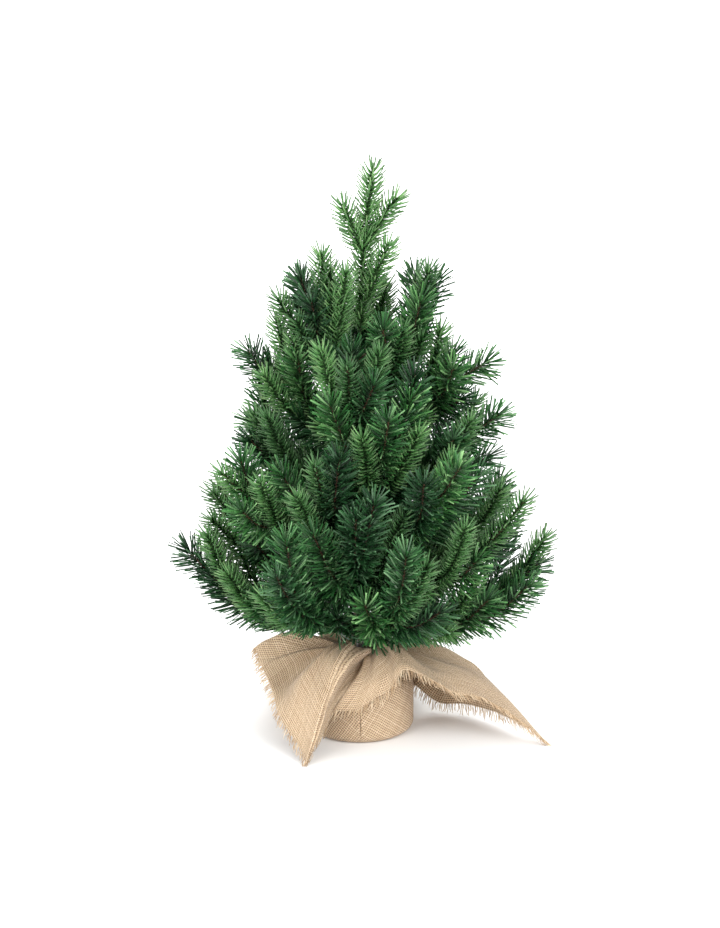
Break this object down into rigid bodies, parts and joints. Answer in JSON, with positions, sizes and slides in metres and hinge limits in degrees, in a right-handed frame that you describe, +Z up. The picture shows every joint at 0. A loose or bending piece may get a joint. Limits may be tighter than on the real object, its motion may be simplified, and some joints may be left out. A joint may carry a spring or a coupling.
{
  "type": "artificial tabletop tree",
  "caption": "Small artificial fir tree of bendable wire branches with green plastic needles, standing in a round weighted base wrapped in frayed burlap.",
  "frame": {"origin": "centre of the drum's underside, on the surface the tree stands on, under the pole's axis", "axes": "+Z up along the pole; the tree's front, with the split in the burlap, faces -Y; +X to its right as seen from the front"},
  "size_m": [0.3874, 0.3201, 0.6004],
  "materials": {
    "cup_plastic": "satin",
    "cement": "matte",
    "burlap": "matte",
    "twine": "matte",
    "pole_paint": "satin",
    "binding_tape": "satin",
    "wire_brown": "satin",
    "needle_green": "satin",
    "leader_stem": "satin",
    "leader_green": "satin"
  },
  "bodies": {
    "tree_stand": {"base_cup": "cup_plastic", "base_weight": "cement", "burlap_wrap": "burlap", "neck_tie": "twine", "trunk_pole": "pole_paint", "trunk_binding": "binding_tape"},
    "branch_01": {"branch_01_wire": "wire_brown", "branch_01_needles": "needle_green"},
    "branch_02": {"branch_02_wire": "wire_brown", "branch_02_needles": "needle_green"},
    "branch_03": {"branch_03_wire": "wire_brown", "branch_03_needles": "needle_green"},
    "branch_04": {"branch_04_wire": "wire_brown", "branch_04_needles": "needle_green"},
    "branch_05": {"branch_05_wire": "wire_brown", "branch_05_needles": "needle_green"},
    "branch_06": {"branch_06_wire": "wire_brown", "branch_06_needles": "needle_green"},
    "branch_07": {"branch_07_wire": "wire_brown", "branch_07_needles": "needle_green"},
    "branch_08": {"branch_08_wire": "wire_brown", "branch_08_needles": "needle_green"},
    "branch_09": {"branch_09_wire": "wire_brown", "branch_09_needles": "needle_green"},
    "branch_10": {"branch_10_wire": "wire_brown", "branch_10_needles": "needle_green"},
    "branch_11": {"branch_11_wire": "wire_brown", "branch_11_needles": "needle_green"},
    "branch_12": {"branch_12_wire": "wire_brown", "branch_12_needles": "needle_green"},
    "branch_13": {"branch_13_wire": "wire_brown", "branch_13_needles": "needle_green"},
    "branch_14": {"branch_14_wire": "wire_brown", "branch_14_needles": "needle_green"},
    "branch_15": {"branch_15_wire": "wire_brown", "branch_15_needles": "needle_green"},
    "branch_16": {"branch_16_wire": "wire_brown", "branch_16_needles": "needle_green"},
    "branch_17": {"branch_17_wire": "wire_brown", "branch_17_needles": "needle_green"},
    "branch_18": {"branch_18_wire": "wire_brown", "branch_18_needles": "needle_green"},
    "branch_19": {"branch_19_wire": "wire_brown", "branch_19_needles": "needle_green"},
    "branch_20": {"branch_20_wire": "wire_brown", "branch_20_needles": "needle_green"},
    "branch_21": {"branch_21_wire": "wire_brown", "branch_21_needles": "needle_green"},
    "branch_22": {"branch_22_wire": "wire_brown", "branch_22_needles": "needle_green"},
    "branch_23": {"branch_23_wire": "wire_brown", "branch_23_needles": "needle_green"},
    "branch_24": {"branch_24_wire": "wire_brown", "branch_24_needles": "needle_green"},
    "branch_25": {"branch_25_wire": "wire_brown", "branch_25_needles": "needle_green"},
    "branch_26": {"branch_26_wire": "wire_brown", "branch_26_needles": "needle_green"},
    "leader": {"leader_wire": "leader_stem", "leader_needles": "leader_green"}
  },
  "joints": [
    {"name": "branch_01_bend", "type": "hinge", "parent": "tree_stand", "child": "branch_01", "pos_m": [0.00796, -0.0014, 0.11], "axis": [-0.1736, -0.9848, 0], "range_deg": [-18, 20]},
    {"name": "branch_02_bend", "type": "hinge", "parent": "tree_stand", "child": "branch_02", "pos_m": [0.00505, 0.00647, 0.11], "axis": [0.788, -0.6157, 0], "range_deg": [-18, 20]},
    {"name": "branch_03_bend", "type": "hinge", "parent": "tree_stand", "child": "branch_03", "pos_m": [-0.00435, 0.00696, 0.11], "axis": [0.848, 0.5299, 0], "range_deg": [-18, 20]},
    {"name": "branch_04_bend", "type": "hinge", "parent": "tree_stand", "child": "branch_04", "pos_m": [-0.00805, -0.00142, 0.11], "axis": [-0.1736, 0.9848, 0], "range_deg": [-18, 20]},
    {"name": "branch_05_bend", "type": "hinge", "parent": "tree_stand", "child": "branch_05", "pos_m": [-0.00411, -0.00711, 0.11], "axis": [-0.866, 0.5, 0], "range_deg": [-18, 20]},
    {"name": "branch_06_bend", "type": "hinge", "parent": "tree_stand", "child": "branch_06", "pos_m": [0.00337, -0.00757, 0.11], "axis": [-0.9135, -0.4067, 0], "range_deg": [-18, 20]},
    {"name": "branch_07_bend", "type": "hinge", "parent": "tree_stand", "child": "branch_07", "pos_m": [0.00808, 0.00231, 0.15], "axis": [0.2756, -0.9613, 0], "range_deg": [-28, 18]},
    {"name": "branch_08_bend", "type": "hinge", "parent": "tree_stand", "child": "branch_08", "pos_m": [0.00029, 0.00843, 0.15], "axis": [0.9994, -0.0349, 0], "range_deg": [-28, 18]},
    {"name": "branch_09_bend", "type": "hinge", "parent": "tree_stand", "child": "branch_09", "pos_m": [-0.00803, 0.00246, 0.15], "axis": [0.2924, 0.9563, 0], "range_deg": [-28, 18]},
    {"name": "branch_10_bend", "type": "hinge", "parent": "tree_stand", "child": "branch_10", "pos_m": [-0.00073, -0.00837, 0.15], "axis": [-0.9962, 0.0872, 0], "range_deg": [-28, 18]},
    {"name": "branch_11_bend", "type": "hinge", "parent": "tree_stand", "child": "branch_11", "pos_m": [0.00718, -0.00398, 0.15], "axis": [-0.4848, -0.8746, 0], "range_deg": [-28, 18]},
    {"name": "branch_12_bend", "type": "hinge", "parent": "tree_stand", "child": "branch_12", "pos_m": [0.00575, 0.00639, 0.194], "axis": [0.7431, -0.6691, 0], "range_deg": [-28, 18]},
    {"name": "branch_13_bend", "type": "hinge", "parent": "tree_stand", "child": "branch_13", "pos_m": [-0.00553, 0.00658, 0.194], "axis": [0.766, 0.6428, 0], "range_deg": [-28, 18]},
    {"name": "branch_14_bend", "type": "hinge", "parent": "tree_stand", "child": "branch_14", "pos_m": [-0.00748, -0.00398, 0.194], "axis": [-0.4695, 0.8829, 0], "range_deg": [-28, 18]},
    {"name": "branch_15_bend", "type": "hinge", "parent": "tree_stand", "child": "branch_15", "pos_m": [-0.00321, -0.00794, 0.194], "axis": [-0.9272, 0.3746, 0], "range_deg": [-28, 18]},
    {"name": "branch_16_bend", "type": "hinge", "parent": "tree_stand", "child": "branch_16", "pos_m": [0.00524, -0.0067, 0.194], "axis": [-0.788, -0.6157, 0], "range_deg": [-28, 18]},
    {"name": "branch_17_bend", "type": "hinge", "parent": "tree_stand", "child": "branch_17", "pos_m": [0.00836, -0.00224, 0.242], "axis": [-0.2588, -0.9659, 0], "range_deg": [-28, 16]},
    {"name": "branch_18_bend", "type": "hinge", "parent": "tree_stand", "child": "branch_18", "pos_m": [-0.0003, 0.0087, 0.242], "axis": [0.9994, 0.0349, 0], "range_deg": [-28, 16]},
    {"name": "branch_19_bend", "type": "hinge", "parent": "tree_stand", "child": "branch_19", "pos_m": [-0.00867, -0.00045, 0.242], "axis": [-0.0523, 0.9986, 0], "range_deg": [-28, 16]},
    {"name": "branch_20_bend", "type": "hinge", "parent": "tree_stand", "child": "branch_20", "pos_m": [0.00238, -0.00832, 0.242], "axis": [-0.9613, -0.2756, 0], "range_deg": [-28, 16]},
    {"name": "branch_21_bend", "type": "hinge", "parent": "tree_stand", "child": "branch_21", "pos_m": [0.00878, 0.00061, 0.293], "axis": [0.0698, -0.9976, 0], "range_deg": [-18, 18]},
    {"name": "branch_22_bend", "type": "hinge", "parent": "tree_stand", "child": "branch_22", "pos_m": [-0.00847, 0.00227, 0.293], "axis": [0.2588, 0.9659, 0], "range_deg": [-18, 18]},
    {"name": "branch_23_bend", "type": "hinge", "parent": "tree_stand", "child": "branch_23", "pos_m": [-0.00122, -0.00868, 0.293], "axis": [-0.9903, 0.1392, 0], "range_deg": [-18, 18]},
    {"name": "branch_24_bend", "type": "hinge", "parent": "tree_stand", "child": "branch_24", "pos_m": [0.00874, -0.00154, 0.345], "axis": [-0.1736, -0.9848, 0], "range_deg": [-28, 10]},
    {"name": "branch_25_bend", "type": "hinge", "parent": "tree_stand", "child": "branch_25", "pos_m": [0.00154, 0.00874, 0.345], "axis": [0.9848, -0.1736, 0], "range_deg": [-28, 10]},
    {"name": "branch_26_bend", "type": "hinge", "parent": "tree_stand", "child": "branch_26", "pos_m": [-0.00876, -0.00154, 0.345], "axis": [-0.1736, 0.9848, 0], "range_deg": [-28, 10]},
    {"name": "leader_bend", "type": "hinge", "parent": "tree_stand", "child": "leader", "pos_m": [0, 0, 0.4003], "axis": [0, 1, 0], "range_deg": [-20, 14]}
  ]
}
